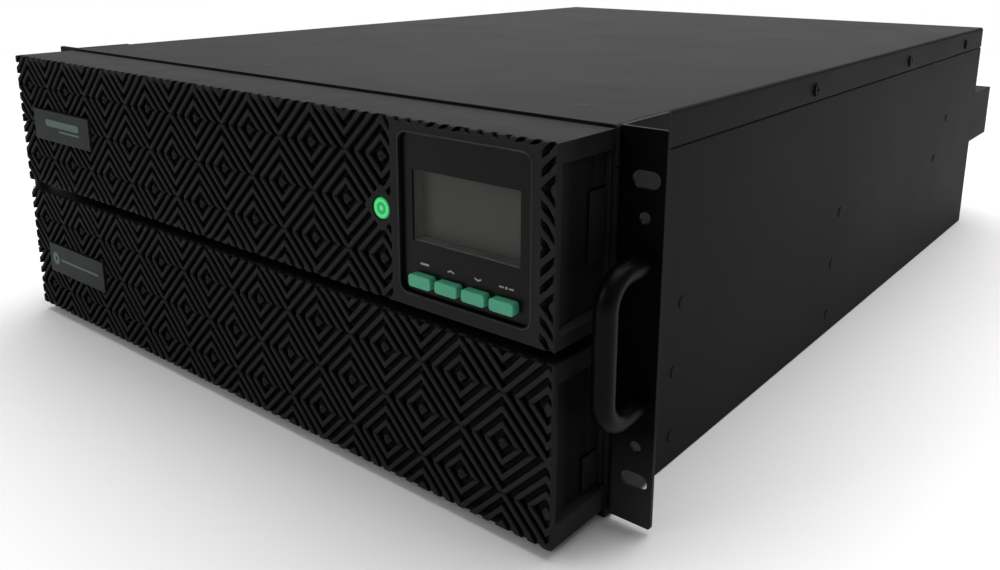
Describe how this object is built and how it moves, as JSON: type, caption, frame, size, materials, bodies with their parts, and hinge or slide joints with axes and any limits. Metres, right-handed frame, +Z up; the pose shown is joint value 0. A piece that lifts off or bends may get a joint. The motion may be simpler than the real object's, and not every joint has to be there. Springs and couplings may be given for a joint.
{
  "type": "rack-mount uninterruptible power supply",
  "caption": "Four-unit rack power supply with diamond-ribbed bezels, small display with keys, pull-out battery trays, rack ears with bar handles, and fans at the rear.",
  "frame": {"origin": "underside of the chassis, on its centre line, in the plane where the rack ears meet the rack's rails", "axes": "+Y runs from the front to the rear, +Z up, +X to the right of a person facing the front"},
  "size_m": [0.4826, 0.7065, 0.1775],
  "materials": {
    "steel_black": "fine-textured black powder coat",
    "steel_cover": "fine-textured black powder coat, satin",
    "ear_black": "fine-textured black powder coat",
    "zinc_steel": "zinc-plated sheet",
    "handle_black": "satin black powder coat",
    "screw_black": "black zinc",
    "bezel_plastic": "fine-textured moulded plastic",
    "badge_plastic": "satin moulded plastic",
    "light_lens": "glowing green lens",
    "panel_gloss": "glossy black",
    "window_clear": "clear lens",
    "lcd_grey": "unlit grey display",
    "board_green": "solder mask",
    "ribbon_grey": "flat cable",
    "key_teal": "satin moulded plastic",
    "latch_plastic": "fine-textured moulded plastic",
    "battery_case": "moulded case",
    "plug_red": "moulded",
    "brass_post": "plain",
    "heatsink_alu": "extruded",
    "capacitor_sleeve": "shrink sleeve",
    "coil_copper": "enamelled winding",
    "relay_shell": "moulded",
    "board_blue": "solder mask",
    "filter_yellow": "moulded film capacitor",
    "fan_black": "moulded",
    "guard_wire": "bright-plated wire",
    "gland_black": "moulded nylon",
    "socket_black": "moulded",
    "toggle_white": "moulded",
    "port_metal": "plated shell",
    "socket_grey": "moulded"
  },
  "bodies": {
    "chassis": {"chassis_base": "steel_black", "top_cover": "steel_cover", "mid_deck": "zinc_steel", "bay_divider": "zinc_steel", "front_plate": "steel_black", "rear_panel": "steel_black", "ear_left": "ear_black", "ear_right": "ear_black", "handle_left": "handle_black", "handle_right": "handle_black", "bracket_screws": "screw_black", "cover_screws": "screw_black", "side_rivets": "steel_black", "upper_bezel": "bezel_plastic", "upper_badge": "badge_plastic", "status_light": "light_lens", "display_panel": "panel_gloss", "display_window": "window_clear", "lcd_module": "lcd_grey", "display_board": "board_green", "display_cable": "ribbon_grey", "power_board": "board_green", "board_standoffs": "brass_post", "heatsinks": "heatsink_alu", "capacitor_bank": "capacitor_sleeve", "inductors": "coil_copper", "relays": "relay_shell", "control_board": "board_blue", "emi_filter": "filter_yellow", "fan_frames": "fan_black", "fan_guards": "guard_wire", "terminal_cover": "steel_black", "cable_glands": "gland_black", "terminal_block": "socket_black", "breaker_body": "socket_black", "card_slot_cover": "steel_black", "comm_ports": "port_metal", "battery_socket": "socket_grey", "outlets": "socket_black"},
    "lower_bezel": {"lower_bezel": "bezel_plastic", "lower_badge": "badge_plastic"},
    "lower_latch_left": {"lower_latch_left": "latch_plastic"},
    "lower_latch_right": {"lower_latch_right": "latch_plastic"},
    "upper_latch_left": {"upper_latch_left": "latch_plastic"},
    "upper_latch_right": {"upper_latch_right": "latch_plastic"},
    "key_escape": {"key_escape": "key_teal"},
    "key_up": {"key_up": "key_teal"},
    "key_down": {"key_down": "key_teal"},
    "key_enter": {"key_enter": "key_teal"},
    "battery_pack_left": {"battery_tray_left": "zinc_steel", "battery_blocks_left": "battery_case", "battery_plug_left": "plug_red", "tray_pull_left": "handle_black"},
    "battery_pack_right": {"battery_tray_right": "zinc_steel", "battery_blocks_right": "battery_case", "battery_plug_right": "plug_red", "tray_pull_right": "handle_black"},
    "fan_rotor_left": {"fan_rotor_left": "fan_black"},
    "fan_rotor_right": {"fan_rotor_right": "fan_black"},
    "breaker_toggle": {"breaker_toggle": "toggle_white"}
  },
  "joints": [
    {"name": "battery_pack_left_slide", "type": "slide", "parent": "chassis", "child": "battery_pack_left", "axis": [0, -1, 0], "range_m": [0, 0.44]},
    {"name": "battery_pack_right_slide", "type": "slide", "parent": "chassis", "child": "battery_pack_right", "axis": [0, -1, 0], "range_m": [0, 0.44]},
    {"name": "lower_bezel_pull", "type": "slide", "parent": "chassis", "child": "lower_bezel", "axis": [0, -1, 0], "range_m": [0, 0.55]},
    {"name": "key_escape_press", "type": "slide", "parent": "chassis", "child": "key_escape", "axis": [0, 1, 0], "range_m": [0, 0.0015]},
    {"name": "key_up_press", "type": "slide", "parent": "chassis", "child": "key_up", "axis": [0, 1, 0], "range_m": [0, 0.0015]},
    {"name": "key_down_press", "type": "slide", "parent": "chassis", "child": "key_down", "axis": [0, 1, 0], "range_m": [0, 0.0015]},
    {"name": "key_enter_press", "type": "slide", "parent": "chassis", "child": "key_enter", "axis": [0, 1, 0], "range_m": [0, 0.0015]},
    {"name": "upper_latch_left_press", "type": "slide", "parent": "chassis", "child": "upper_latch_left", "axis": [1, 0, 0], "range_m": [0, 0.0015]},
    {"name": "upper_latch_right_press", "type": "slide", "parent": "chassis", "child": "upper_latch_right", "axis": [-1, 0, 0], "range_m": [0, 0.0015]},
    {"name": "lower_latch_left_press", "type": "slide", "parent": "lower_bezel", "child": "lower_latch_left", "axis": [1, 0, 0], "range_m": [0, 0.0015]},
    {"name": "lower_latch_right_press", "type": "slide", "parent": "lower_bezel", "child": "lower_latch_right", "axis": [-1, 0, 0], "range_m": [0, 0.0015]},
    {"name": "fan_left_spin", "type": "hinge", "parent": "chassis", "child": "fan_rotor_left", "pos_m": [-0.168, 0.587, 0.131], "axis": [0, 1, 0], "continuous": true},
    {"name": "fan_right_spin", "type": "hinge", "parent": "chassis", "child": "fan_rotor_right", "pos_m": [-0.08, 0.587, 0.131], "axis": [0, 1, 0], "continuous": true},
    {"name": "breaker_toggle_hinge", "type": "hinge", "parent": "chassis", "child": "breaker_toggle", "pos_m": [0.064, 0.599, 0.058], "axis": [1, 0, 0], "range_deg": [-48, 0]}
  ],
  "couplings": [
    {"joint": "battery_pack_right_slide", "follows": "battery_pack_left_slide", "ratio": 1},
    {"joint": "lower_bezel_pull", "follows": "battery_pack_left_slide", "ratio": 1.25}
  ]
}
